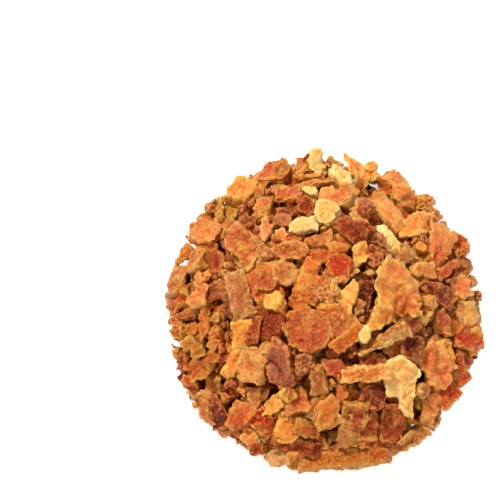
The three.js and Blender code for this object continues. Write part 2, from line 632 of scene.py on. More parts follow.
class NodeSheet:
    """One material's nodes, with short ways to add those that the finishes share."""

    NOISE_ROUGHNESS = 0.62  # how much the finer layers of a mottling weigh

    def __init__(self, name: str) -> None:
        """Starts a material with a bare Principled shader.

        Args:
            name: the material's name.
        """
        self.material = bpy.data.materials.new(name)
        self.material.use_nodes = True
        self.nodes = self.material.node_tree.nodes
        self.links = self.material.node_tree.links
        self.shader = self.nodes["Principled BSDF"]
        self.place = self.nodes.new("ShaderNodeTexCoord").outputs["Object"]

    def attribute(self, name: str, output: str) -> Socket:
        """Reads what each vertex holds under a name, as one of the outputs of an attribute node."""
        node = self.nodes.new("ShaderNodeAttribute")
        node.attribute_name = name
        return node.outputs[output]

    def value(self, name: str) -> Socket:
        """Reads a number that each vertex holds."""
        return self.attribute(name, "Fac")

    def colour(self, name: str) -> Socket:
        """Reads a colour that each vertex holds."""
        return self.attribute(name, "Color")

    def along_piece(self, stretch: float) -> Socket:
        """Gives the place on a piece as it left the bench, drawn out along its length.

        Args:
            stretch: how many times longer than wide a mottle becomes.

        Returns:
            The place, in metres.
        """
        node = self.nodes.new("ShaderNodeVectorMath")
        node.operation = "MULTIPLY"
        node.inputs[1].default_value = (MM / stretch, MM, MM)
        self.links.new(self.attribute("own_place", "Vector"), node.inputs[0])
        return node.outputs["Vector"]

    def noise(
        self,
        size: float,
        detail: float = 3.0,
        distortion: float = 0.0,
        place: Socket | None = None,
    ) -> Socket:
        """Adds soft mottling.

        Args:
            size: of one mottle, in millimetres.
            detail: how many finer layers it has.
            distortion: how far its lines wander.
            place: what it follows, if it isn't the place on the heap.

        Returns:
            The mottling's height, from 0 to 1.
        """
        node = self.nodes.new("ShaderNodeTexNoise")
        node.inputs["Scale"].default_value = 1 / (size * MM)
        node.inputs["Detail"].default_value = detail
        node.inputs["Roughness"].default_value = self.NOISE_ROUGHNESS
        node.inputs["Distortion"].default_value = distortion
        self.links.new(self.place if place is None else place, node.inputs["Vector"])
        return node.outputs["Fac"]

    def cells(self, size: float) -> Socket:
        """Adds close-packed cells.

        Args:
            size: of one cell, in millimetres.

        Returns:
            The distance to the nearest cell's middle, as a share of the cell.
        """
        node = self.nodes.new("ShaderNodeTexVoronoi")
        node.feature = "SMOOTH_F1"
        node.inputs["Scale"].default_value = 1 / (size * MM)
        self.links.new(self.place, node.inputs["Vector"])
        return node.outputs["Distance"]

    def ramp(self, value: Socket, band: Span, start: float = 0.0, end: float = 1.0) -> Socket:
        """Turns a value into a smooth step.

        Args:
            value: what the step follows.
            band: the values where the step starts and ends.
            start: the result before it.
            end: the result after it.

        Returns:
            The step.
        """
        node = self.nodes.new("ShaderNodeMapRange")
        node.interpolation_type = "SMOOTHSTEP"
        limits = zip(("From Min", "From Max", "To Min", "To Max"), (*band, start, end))
        for name, limit in limits:
            node.inputs[name].default_value = limit
        self.links.new(value, node.inputs["Value"])
        return node.outputs["Result"]

    def over(
        self,
        below: object,
        above: object,
        value: Socket,
        band: Span,
        start: float,
        end: float,
    ) -> Socket:
        """Lays a colour over another where a value lies past a band, or short of it.

        Args:
            below: the colour that is covered.
            above: the colour that covers it.
            value: what decides it.
            band: the values between which it changes.
            start: how much is covered before the band.
            end: how much is covered after it.

        Returns:
            The mixed colour.
        """
        return self.mixed(self.ramp(value, band, start, end), below, above)

    def maths(self, operation: str, first: object, second: object) -> Socket:
        """Adds one step of arithmetic on sockets or numbers."""
        node = self.nodes.new("ShaderNodeMath")
        node.operation = operation
        for socket, given in zip(node.inputs, (first, second)):
            self.feed(socket, given)
        return node.outputs["Value"]

    def feed(self, socket: Socket, given: object) -> None:
        """Links a socket to another or sets it to a constant."""
        if isinstance(given, Socket):
            self.links.new(given, socket)
        else:
            socket.default_value = given

    def mixed(self, share: object, first: object, second: object) -> Socket:
        """Mixes two colours.

        Args:
            share: of the second one.
            first: the colour at share 0.
            second: the colour at share 1.

        Returns:
            The mixed colour.
        """
        node = self.nodes.new("ShaderNodeMix")
        node.data_type = "RGBA"
        self.feed(node.inputs[0], share)
        self.feed(node.inputs[6], first)
        self.feed(node.inputs[7], second)
        return node.outputs[2]

    def dimmed(self, colour: Socket, share: object) -> Socket:
        """Scales a colour's brightness by a share that may be over 1."""
        node = self.nodes.new("ShaderNodeVectorMath")
        node.operation = "SCALE"
        self.links.new(colour, node.inputs[0])
        self.feed(node.inputs["Scale"], share)
        return node.outputs["Vector"]

    def bump(self, height: Socket, depth: float, under: Socket | None = None) -> Socket:
        """Turns a height into relief.

        Args:
            height: from 0 to 1.
            depth: what a height of 1 stands for, in millimetres.
            under: the relief that this one lies on.

        Returns:
            The normal to shade with.
        """
        node = self.nodes.new("ShaderNodeBump")
        node.inputs["Distance"].default_value = depth * MM
        self.links.new(height, node.inputs["Height"])
        if under is not None:
            self.links.new(under, node.inputs["Normal"])
        return node.outputs["Normal"]


class Band:
    """Between which values of a mottling, a distance or a crest each trait of the peel, and each painted
    highlight, glint and shade, comes in.
    """

    RIND_LINE: Span = (0.3, 0.7)
    FLECKS: Span = (0.59, 0.66)
    CREST_HIGHLIGHTS: Span = (0.55, 0.74)
    CREASE_SHADES: Span = (0.3, 0.46)
    PITS: Span = (0.33, 0.41)
    STAINS: Span = (0.55, 0.68)
    ROUGH: Span = (0.3, 0.72)
    GLAND_HOLLOWS: Span = (0.08, 0.5)
    GLAND_GLINTS: Span = (0.3, 0.06)
    GLAND_GAPS: Span = (0.3, 0.6)
    PATCHES: Span = (0.43, 0.6)
    FADED: Span = (0.5, 0.36)
    INWARD: Span = (0.4, 1.8)
    WORN_RIM: Span = (0.35, 0.65)
    WARM_PITH: Span = (0.44, 0.6)
    FIBRES: Span = (0.46, 0.6)
    FIBRE_SHADOWS: Span = (0.3, 0.5)


@dataclass(frozen=True)
class PeelFinish:
    """Dried peel: rind with gland pits on top, pale pith below, and both in layers at the cut rim.

    Sizes and depths are millimetres.
    """

    name: str
    zone_size: float = 4.6
    patch_size: float = 1.5
    patch_share: float = 0.95
    pale_share: float = 0.65
    gland_size: float = 0.62
    gland_depth: float = 0.32
    gland_glint: float = 0.65  # how pale the middle of a gland is: its own paler colour with a painted glint
    gland_dark: float = 0.8  # how bright the rind is between two glands
    grain_size: float = 0.32
    grain_depth: float = 0.46
    wrinkle_scale: float = 1.1  # size of the wrinkles in its relief, in grains
    pit_share: float = 0.5
    fleck_share: float = 0.55
    # The painted highlight on ridges and edges, and the painted shade in creases.
    crest_highlight: float = 0.7
    crease_shade: float = 0.6
    rind_from: float = 0.5  # where the coloured rind starts at the cut, as a share of the thickness
    rind_over: float = 0.28  # over how much of the thickness it comes in
    rind_drift: float = 0.14  # how far that wanders up and down
    fibre_size: float = 0.9
    fibre_stretch: float = 2.5
    fibre_depth: float = 0.1
    fibre_share: float = 0.45
    rim_width: float = 0.5
    rim_share: float = 0.7
    rim_drift: float = 0.4  # how far the worn rim wanders in and out
    patch_at_rim: float = 0.1  # how much of the patches is left at the rim
    zone_weight: float = 0.7  # of the wide mottling in the patches; the rest is the finer one
    gland_crown: float = 1.05  # how much brighter the rind is round the middle of a gland
    warm_share: float = 0.7
    stain_size: float = 3.4
    stain_share: float = 0.5
    shadow: float = 0.85  # how bright the hollows between the fibres are
    dark_share: float = 0.6  # how much of the patch colour is left in the painted shade of the creases and in the pits and stains
    dark: tuple[float, ...] = (0.11, 0.018, 0.004, 1.0)  # the red brown that dried peel darkens to in pits and stains, and that painted shade in creases and between fibres goes to
    roughness: Span = (0.2, 0.55)
    shine: float = 0.7
    shine_tint: tuple[float, ...] = (1.0, 0.84, 0.64, 1.0)
    glow: float = 0.2
    glow_reach: float = 0.35
    glow_spread: Colour = (1.0, 0.42, 0.16)

    def make(self) -> bpy.types.Material:
        """Builds the material.

        Returns:
            The finished material.
        """
        sheet = NodeSheet(self.name)
        skin = sheet.value("skin")
        wander = sheet.noise(self.patch_size, distortion=0.4)
        zones = sheet.noise(self.zone_size, detail=2.0, distortion=0.3)
        grain = sheet.noise(self.grain_size)
        glands = sheet.cells(self.gland_size)
        drawn_out = sheet.along_piece(self.fibre_stretch)
        fibres = sheet.noise(self.fibre_size, detail=4.0, distortion=0.5, place=drawn_out)
        rind = self.rind_colour(sheet, zones, wander, glands)
        pith = self.pith_colour(sheet, zones, fibres)
        dressed = sheet.mixed(skin, self.cut_colour(sheet, pith, wander), rind)
        # The worn colour also holds the painted highlights on ridges and the painted shade in creases.
        worn = self.worn_and_shaded_colour(sheet, dressed, grain)
        sheet.links.new(worn, sheet.shader.inputs["Base Color"])

        rough = sheet.ramp(wander, Band.ROUGH, *self.roughness)
        sheet.links.new(rough, sheet.shader.inputs["Roughness"])
        pits = sheet.maths("MULTIPLY", sheet.ramp(glands, Band.GLAND_HOLLOWS, 1.0, 0.0), skin)
        relief = sheet.bump(pits, self.gland_depth)
        wrinkles = sheet.noise(self.grain_size * self.wrinkle_scale, detail=4.0, distortion=0.3)
        relief = sheet.bump(wrinkles, self.grain_depth, relief)
        relief = sheet.bump(fibres, self.fibre_depth, relief)
        sheet.links.new(relief, sheet.shader.inputs["Normal"])
        self.set_gloss(sheet.shader)
        return sheet.material

    def darkened(self, sheet: NodeSheet, colour: Socket, share: object) -> Socket:
        """Turns a colour to the dark one, apart from a share that stays."""
        return sheet.mixed(share, self.dark, colour)

    def cut_colour(self, sheet: NodeSheet, pith: Socket, wander: Socket) -> Socket:
        """Colours the cut rim in layers: pith below, and the colour of the rind on top.

        Args:
            sheet: the material's nodes.
            pith: the colour of the inner side.
            wander: the mottling that the line between the layers follows.

        Returns:
            The colour.
        """
        drift = sheet.ramp(wander, Band.RIND_LINE, -self.rind_drift, self.rind_drift)
        depth = sheet.maths("ADD", sheet.value("layer"), drift)
        band = (self.rind_from, self.rind_from + self.rind_over)
        return sheet.over(pith, sheet.colour("main"), depth, band, 0.0, 1.0)

    def worn_and_shaded_colour(self, sheet: NodeSheet, colour: Socket, grain: Socket) -> Socket:
        """Wears a piece: pale flecks, dark pits and stains, ridges and edges paled by wear and a painted
        highlight, and painted shade in creases.

        Args:
            sheet: the material's nodes.
            colour: the piece's colour before that.
            grain: the finest mottling.

        Returns:
            The colour.
        """
        crest = sheet.value("crest")
        pale = sheet.colour("pale")
        # The deep colour is the painted shade of the creases and the dark of pits and stains.
        deep = self.darkened(sheet, sheet.colour("patch"), self.dark_share)
        colour = sheet.over(colour, pale, grain, Band.FLECKS, 0.0, self.fleck_share)
        # Ridges and edges pale, partly by wear and partly as a painted highlight; creases dark with painted
        # shade.
        colour = sheet.over(colour, pale, crest, Band.CREST_HIGHLIGHTS, 0.0, self.crest_highlight)
        colour = sheet.over(colour, deep, crest, Band.CREASE_SHADES, self.crease_shade, 0.0)
        colour = sheet.over(colour, deep, grain, Band.PITS, self.pit_share, 0.0)
        stains = sheet.noise(self.stain_size)
        return sheet.over(colour, deep, stains, Band.STAINS, 0.0, self.stain_share)

    def rind_colour(self, sheet: NodeSheet, zones: Socket, wander: Socket, glands: Socket) -> Socket:
        """Colours the outer skin: wide zones, patches in the middle, pale gland middles with a painted
        glint, and a pale worn rim.

        Args:
            sheet: the material's nodes.
            zones: the widest mottling.
            wander: the finer mottling.
            glands: the distance to the nearest gland's middle.

        Returns:
            The colour.
        """
        inset = sheet.value("inset")
        pale = sheet.colour("pale")
        inward = sheet.ramp(inset, Band.INWARD, self.patch_at_rim, 1.0)
        wide = sheet.maths("MULTIPLY", zones, self.zone_weight)
        fine = sheet.maths("MULTIPLY", wander, 1 - self.zone_weight)
        both = sheet.maths("ADD", wide, fine)
        patches = sheet.maths("MULTIPLY", sheet.ramp(both, Band.PATCHES, 0.0, self.patch_share), inward)
        base = sheet.mixed(patches, sheet.colour("main"), sheet.colour("patch"))
        faded = sheet.over(base, pale, both, Band.FADED, 0.0, self.pale_share)
        light = sheet.ramp(glands, Band.GLAND_GAPS, self.gland_crown, self.gland_dark)
        spread = sheet.dimmed(faded, light)
        # A painted glint on the pale middle of each gland.
        lit = sheet.over(spread, pale, glands, Band.GLAND_GLINTS, 0.0, self.gland_glint)
        drift = sheet.ramp(wander, Band.WORN_RIM, -self.rim_drift, self.rim_drift)
        worn = sheet.maths("ADD", inset, drift)
        return sheet.over(lit, pale, worn, (0.0, self.rim_width), self.rim_share, 0.0)

    def pith_colour(self, sheet: NodeSheet, zones: Socket, fibres: Socket) -> Socket:
        """Colours the spongy inner side, with darker fibres, painted shade in the hollows between them and
        warmer zones.

        Args:
            sheet: the material's nodes.
            zones: the widest mottling.
            fibres: mottling drawn out along the piece.

        Returns:
            The colour.
        """
        main, patch, pale = (sheet.colour(name) for name in COLOURS)
        warm = sheet.over(pale, main, zones, Band.WARM_PITH, 0.0, self.warm_share)
        drawn = sheet.over(warm, patch, fibres, Band.FIBRES, 0.0, self.fibre_share)
        # Painted shade in the hollows between the fibres.
        return self.darkened(sheet, drawn, sheet.ramp(fibres, Band.FIBRE_SHADOWS, self.shadow, 1.0))

    def set_gloss(self, shader: bpy.types.ShaderNodeBsdfPrincipled) -> None:
        """Sets what is the same all over the piece, on the shader's own sockets."""
        shader.inputs["Specular IOR Level"].default_value = self.shine
        shader.inputs["Specular Tint"].default_value = self.shine_tint
        shader.inputs["Subsurface Weight"].default_value = self.glow
        shader.inputs["Subsurface Radius"].default_value = self.glow_spread
        shader.inputs["Subsurface Scale"].default_value = self.glow_reach * MM


@dataclass(frozen=True)
class CrumbFinish:
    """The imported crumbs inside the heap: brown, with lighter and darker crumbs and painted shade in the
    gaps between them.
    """

    name: str
    dark: Colour = (104, 38, 15)
    middle: Colour = (158, 70, 27)
    light: Colour = (200, 108, 44)
    crumb_size: float = 1.5
    crumb_height: float = 0.5
    gap_shade: float = 0.35  # how bright the gaps between the crumbs are, with their painted shade
    dark_band: Span = (0.4, 0.6)
    light_band: Span = (0.6, 0.7)
    gap_shade_band: Span = (0.2, 0.7)
    crumb_band: Span = (0.0, 0.7)
    rough_band: Span = (0.3, 0.7)
    roughness: Span = (0.7, 0.9)
    shine: float = 0.1

    def make(self) -> bpy.types.Material:
        """Builds the material.

        Returns:
            The finished material.
        """
        sheet = NodeSheet(self.name)
        crumbs = sheet.cells(self.crumb_size)
        wander = sheet.noise(self.crumb_size * 2, detail=4.0, distortion=0.5)
        dark, middle, light = ((*linear(shade), 1.0) for shade in (self.dark, self.middle, self.light))
        packed = sheet.over(middle, dark, wander, self.dark_band, 0.0, 1.0)
        finer = sheet.noise(self.crumb_size)
        lit = sheet.over(packed, light, finer, self.light_band, 0.0, 1.0)
        # Painted shade in the gaps between the crumbs.
        gaps = sheet.dimmed(lit, sheet.ramp(crumbs, self.gap_shade_band, 1.0, self.gap_shade))
        sheet.links.new(gaps, sheet.shader.inputs["Base Color"])
        rough = sheet.ramp(wander, self.rough_band, *self.roughness)
        sheet.links.new(rough, sheet.shader.inputs["Roughness"])
        relief = sheet.bump(sheet.ramp(crumbs, self.crumb_band, 1.0, 0.0), self.crumb_height)
        sheet.links.new(relief, sheet.shader.inputs["Normal"])
        sheet.shader.inputs["Specular IOR Level"].default_value = self.shine
        return sheet.material


@dataclass(frozen=True)
class TableFinish:
    """A plain, pale, matt table that shines a little itself, so that shadows on it stay faint."""

    name: str = "pale_table"
    shade: Colour = (250, 250, 250)
    roughness: float = 0.9
    shine: float = 0.2
    own_light: float = 0.55

    def make(self) -> bpy.types.Material:
        """Builds the material.

        Returns:
            The finished material.
        """
        sheet = NodeSheet(self.name)
        constants = {
            "Base Color": (*linear(self.shade), 1.0),
            "Roughness": self.roughness,
            "Specular IOR Level": self.shine,
            "Emission Color": WHITE,
            "Emission Strength": self.own_light,
        }
        for name, constant in constants.items():
            sheet.shader.inputs[name].default_value = constant
        return sheet.material


# --------------------------------------------------------------------------- piles and the heap


@dataclass
class Pile:
    """All pieces of one kind, gathered until they become one object."""

    name: str
    slot: str
    finish: PeelFinish
    points: list[Array] = field(default_factory=list)
    triangles: list[Array] = field(default_factory=list)
    values: dict[str, list[Array]] = field(default_factory=lambda: {name: [] for name in LOOKS})
    colours: dict[str, list[Array]] = field(default_factory=lambda: {name: [] for name in COLOURS})
    own_places: list[Array] = field(default_factory=list)  # the vertices as they left the bench
    vertices: int = 0
    apart: float = 17.3  # millimetres between the own places of two pieces

    def add(self, shape: Shape, points: Array, shades: Shades) -> None:
        """Adds a piece that lies where it stays.

        Args:
            shape: the piece as it left the bench.
            points: its vertices on the heap.
            shades: its colours, in linear light.
        """
        self.points.append(points)
        self.triangles.append(shape.triangles + self.vertices)
        for name, lists in self.values.items():
            lists.append(getattr(shape, name))
        for name, lists in self.colours.items():
            lists.append(np.tile((*getattr(shades, name), 1.0), (len(points), 1)))
        self.own_places.append(shape.points + self.apart * len(self.points))
        self.vertices += len(points)

    def build(self) -> Piece:
        """Joins the pieces into one object at the origin and dresses it.

        Returns:
            The object.
        """
        mesh = bpy.data.meshes.new(self.name)
        triangles = np.concatenate(self.triangles)
        mesh.from_pydata(np.concatenate(self.points) * MM, [], triangles)
        for name, lists in self.values.items():
            attribute = mesh.attributes.new(name, "FLOAT", "POINT")
            attribute.data.foreach_set("value", np.concatenate(lists).astype(np.float32))
        for name, lists in self.colours.items():
            attribute = mesh.attributes.new(name, "FLOAT_COLOR", "POINT")
            attribute.data.foreach_set("color", np.concatenate(lists).astype(np.float32).ravel())
        own_place = mesh.attributes.new("own_place", "FLOAT_VECTOR", "POINT")
        own_place.data.foreach_set("vector", np.concatenate(self.own_places).astype(np.float32).ravel())
        mesh.shade_smooth()
        mesh.update()
        mesh.materials.append(self.finish.make())
        piece = bpy.data.objects.new(self.name, mesh)
        bpy.context.scene.collection.objects.link(piece)
        log.info("%s: %d pieces, %d triangles", self.name, len(self.points), len(triangles))
        return piece


def peel_piles() -> dict[str, Pile]:
    """Names the pile, material slot and finish of each kind of piece.

    Returns:
        The piles, still empty.
    """
    rind = PeelFinish("pitted_rind")
    deep = PeelFinish(
        "deep_rind", gland_glint=0.85, gland_dark=0.62, rim_share=0.8, stain_share=0.3, shine=0.3,
    )
    strip = PeelFinish(
        "layered_strip", rind_from=0.62, gland_glint=0.3, fleck_share=0.2, pit_share=0.3, crease_shade=0.3,
        fibre_size=0.5, fibre_stretch=9.0, fibre_depth=0.2, fibre_share=0.4, shine=0.35,
    )
    pith = PeelFinish(
        "spongy_pith", patch_share=0.55, gland_glint=0.2, gland_dark=0.9, gland_depth=0.06,
        rim_share=0.4, stain_share=0.2, pit_share=0.2, fleck_share=0.4, grain_depth=0.26, glow=0.3,
        shine=0.4, roughness=(0.4, 0.7),
    )
    membrane = PeelFinish(
        "crinkled_membrane", patch_share=0.8, gland_glint=0.1, gland_dark=0.95, gland_depth=0.03,
        grain_depth=0.2, pit_share=0.1, fleck_share=0.35, crease_shade=0.35, fibre_depth=0.2,
        stain_share=0.1, glow=0.4, roughness=(0.2, 0.45),
    )
    crust = PeelFinish("crusted_crumbs", zone_size=2.4, patch_size=1.0, gland_size=0.8, pit_share=0.6)
    return {
        "orange_rind": Pile("orange_rind_chips", "dried_rind", rind),
        "tan_rind": Pile("tan_rind_chips", "dried_rind", rind),
        "deep_rind": Pile("deep_rind_chips", "dried_rind", deep),
        "strip": Pile("cut_strips", "dried_rind", strip),
        "pith": Pile("pith_chunks", "dried_pith", pith),
        "membrane": Pile("membrane_flakes", "dried_membrane", membrane),
        "cluster": Pile("crumb_clusters", "packed_crumbs", crust),
        "lower": Pile("lower_chips", "dried_rind", PeelFinish("lower_rind", shine=0.3, glow=0.0)),
        "crumb": Pile("loose_crumbs", "packed_crumbs", PeelFinish("loose_crumb", patch_size=1.0)),
    }


@dataclass(frozen=True)
class Manner:
    """How pieces are let down on the heap."""

    reach: float  # share of the outline that they keep to
    give: float  # share of a piece that stays clear of what is below, unless it is pressed down
    proud: float  # millimetres that it may lie over the surface on average, before it is
    follow: float  # share of the surface's slope that it follows
    loose: float  # degrees that it may lean out of that slope


@dataclass(frozen=True)
class Search:
    """How the place is found where the heap lacks most."""

    blur: int  # cells over which the lack is averaged
    restless: float  # millimetres of chance in the choice


@dataclass(frozen=True)
class Coat:
    """How far a coat of loose pieces fills the heap up, and with how many."""

    lack: float  # millimetres below the surface at which it stops
    most: int  # pieces at most
    largest: float  # length of the largest piece, in millimetres


LOWER = Manner(reach=0.945, give=0.9, proud=0.5, follow=0.6, loose=24.0)
LOOSE = Manner(reach=0.955, give=0.92, proud=1.0, follow=0.5, loose=24.0)
PLACED = Manner(reach=0.975, give=0.93, proud=2.0, follow=0.3, loose=14.0)

LOWER_SEARCH = Search(blur=5, restless=1.2)
LOOSE_SEARCH = Search(blur=3, restless=0.7)
CRUMB_SEARCH = Search(blur=1, restless=2.0)

RIM_COAT = Coat(lack=1.9, most=90, largest=9.0)
INNER_COAT = Coat(lack=3.4, most=240, largest=10.0)
OUTER_COAT = Coat(lack=2.2, most=200, largest=9.0)


@dataclass(frozen=True)
class Edge:
    """The heap's outline: an oval with shallow bays."""

    half_size: Array
    bays: tuple[tuple[int, float, float], ...] = ((5, 0.01, 1.0), (8, 0.01, 2.6), (13, 0.006, 0.4))

    def shares(self, across: Array, along: Array) -> Array:
        """Gives how far out points lie, where 1 is the outline."""
        bearing = np.arctan2(along, across)
        bays = sum(depth * np.sin(lobes * bearing + start) for lobes, depth, start in self.bays)
        return np.hypot(across / self.half_size[0], along / self.half_size[1]) / (1 + bays)


@dataclass
class Heap:
    """The growing heap: it lets each piece down on what lies below, and holds it to the surface."""

    ground: Terrain
    surface: Terrain
    edge: Edge
    height: float  # millimetres that no piece stands higher than
    rng: np.random.Generator
    sample: int = 420  # vertices of a piece that a try goes by
    tries: int = 26
    held_loose: float = 5.0  # degrees that a piece held at a lean may stray from it
    narrowed: float = 0.3  # share of the strays that the second half of the tries keeps to
    nudges: int = 3  # times that a piece is moved inwards to keep to the outline
    bare: float = 0.3  # millimetres of surface, up to which there is no heap to fill up
    kept: Array = field(init=False)

    def __post_init__(self) -> None:
        """Starts with no ground that has to stay in sight."""
        self.kept = np.zeros_like(self.ground.heights, bool)

    def settle(
        self,
        shape: Shape,
        place: Array,
        turn: float,
        rng: np.random.Generator,
        manner: Manner,
        upside: Upside = Upside.RIND,
        lean: tuple[float, float] | None = None,
    ) -> Array:
        """Lets a piece down at a place, as it rests lowest, and presses it down to the surface.

        Args:
            shape: the piece.
            place: X and Y of its middle.
            turn: its long axis, in degrees anticlockwise from +X.
            rng: where the leans that are tried are drawn from.
            manner: how it is let down.
            upside: the side that lies on top.
            lean: its roll and pitch in degrees, if it is held at a lean by its neighbours.

        Returns:
            Its vertices on the heap.
        """
        flip = turned_about((1, 0, 0), math.pi if upside is Upside.PITH else 0.0)
        sample = shape.points[::max(1, len(shape.points) // self.sample)]
        if lean is None:
            yaw = turned_about((0, 0, 1), math.radians(turn)) @ flip
            start = self.sloped(sample @ yaw.T, place, manner.follow) @ yaw
        else:
            roll = turned_about((1, 0, 0), math.radians(lean[0]))
            pitch = turned_about((0, 1, 0), -math.radians(lean[1]))
            start = turned_about((0, 0, 1), math.radians(turn)) @ pitch @ roll @ flip
        reach = math.radians(manner.loose if lean is None else self.held_loose)
        best, lowest = start, math.inf
        for attempt in range(self.tries):
            wide = attempt < self.tries // 2
            centre = start if wide else best
            spread = reach if wide else reach * self.narrowed
            bearing = rng.uniform(0, 2 * math.pi)
            amount = 0.0 if attempt == 0 else rng.uniform(0, spread)
            trial = turned_about((math.cos(bearing), math.sin(bearing), 0), amount) @ centre
            points = self.inside(sample @ trial.T, place, manner.reach)
            height = self.rest_height(points, manner.give) + points[:, 2].mean()
            if height < lowest:
                best, lowest = trial, height
        points = self.inside(shape.points @ best.T, place, manner.reach)
        points[:, 2] += self.rest_height(points, manner.give)
        over = (points[:, 2] - self.surface.at(points)).mean() - manner.proud
        points[:, 2] -= max(0.0, over, points[:, 2].max() - self.height)
        points[:, 2] = np.maximum(points[:, 2], 0.0)
        return points

    def sloped(self, points: Array, place: Array, follow: float) -> Array:
        """Gives the rotation that lays a piece along a share of the slope of the heap's surface."""
        moved = points.copy()
        moved[:, :2] += place[:2]
        along, across = self.surface.tilt_at(moved)
        normal = Vector((-along * follow, -across * follow, 1)).normalized()
        return np.array(Vector((0, 0, 1)).rotation_difference(normal).to_matrix())

    def inside(self, points: Array, place: Array, reach: float) -> Array:
        """Moves a piece to its place, and inwards where it would pass a share of the heap's outline."""
        moved = points.copy()
        moved[:, :2] += place[:2]
        for _ in range(self.nudges):
            shares = self.edge.shares(moved[:, 0], moved[:, 1]) / reach
            furthest = int(shares.argmax())
            over = max(0.0, 1 - 1 / shares[furthest])
            moved[:, :2] -= moved[furthest, :2] * over
        return moved

    def rest_height(self, points: Array, give: float) -> float:
        """Gives how far a piece has to rise so that this share of it is clear of what is below."""
        return float(np.quantile(self.ground.at(points) - points[:, 2], give))

    def lay(self, pile: Pile, shape: Shape, points: Array, shades: Shades, keep: bool = False) -> None:
        """Leaves a piece where it is.

        Args:
            pile: the pile of its kind.
            shape: the piece.
            points: its vertices on the heap.
            shades: its colours, in linear light.
            keep: whether later pieces have to leave it in sight.
        """
        self.ground.cover(points)
        if keep:
            self.kept[self.ground.cells(points)] = True
        pile.add(shape, points, shades)

    def lowest_place(self, search: Search, skip: Array) -> tuple[Array, float]:
        """Finds where the heap is furthest below its surface.

        Args:
            search: how it is looked for.
            skip: cells that are left alone.

        Returns:
            The place, and how much the heap lacks there.
        """
        lack = smoothed(self.surface.heights - self.ground.heights, search.blur)
        lack[skip | (self.surface.heights <= self.bare)] = -math.inf
        chance = lack + self.rng.uniform(0, search.restless, lack.shape)
        row, column = np.unravel_index(np.argmax(chance), lack.shape)
        across, along = self.ground.centres()
        return np.array([across[row, column], along[row, column]]), float(lack[row, column])


# --------------------------------------------------------------------------- the pieces by name

